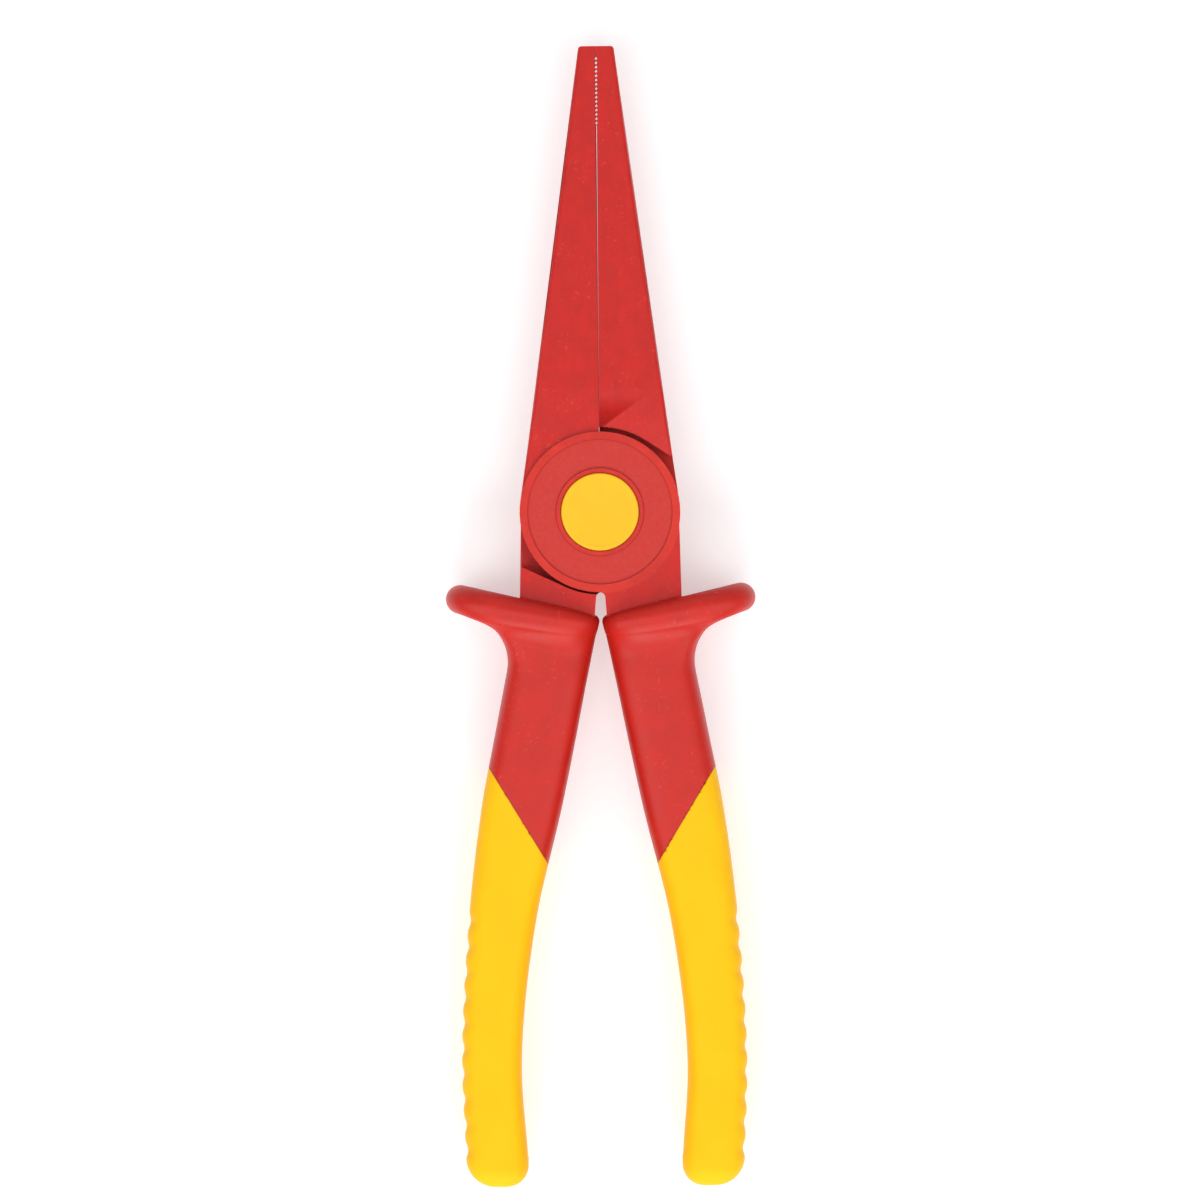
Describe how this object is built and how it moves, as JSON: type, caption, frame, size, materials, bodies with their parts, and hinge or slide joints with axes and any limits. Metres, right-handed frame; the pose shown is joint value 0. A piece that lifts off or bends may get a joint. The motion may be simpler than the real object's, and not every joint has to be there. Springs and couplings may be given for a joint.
{
  "type": "needle nose pliers",
  "caption": "All-plastic insulated long-nose pliers with lapped levers, serrated jaw tips, raised hand guards and soft sleeved grips on a hollow plastic pivot.",
  "frame": {"origin": "on the pivot axis, in the flat back face of the joint", "axes": "+Y points to the nose along the closed tool, +X to the tool's right seen from the front, +Z along the pivot axis out of the front face"},
  "size_m": [0.0598, 0.22, 0.021],
  "materials": {
    "glass_filled_red": "matte",
    "shell_red": "satin",
    "soft_yellow": "satin",
    "pivot_dark": "satin",
    "cap_yellow": "satin"
  },
  "bodies": {
    "back_half": {"back_lever": "glass_filled_red", "back_handle_shell": "shell_red", "back_soft_grip": "soft_yellow", "pivot_sleeve": "pivot_dark", "pivot_bolt": "pivot_dark", "front_pivot_cap": "cap_yellow", "back_pivot_cap": "cap_yellow"},
    "front_half": {"front_lever": "glass_filled_red", "front_handle_shell": "shell_red", "front_soft_grip": "soft_yellow"}
  },
  "joints": [
    {"name": "jaw_pivot", "type": "hinge", "parent": "back_half", "child": "front_half", "pos_m": [0, 0, 0.0065], "axis": [0, 0, 1], "range_deg": [0, 30]}
  ]
}
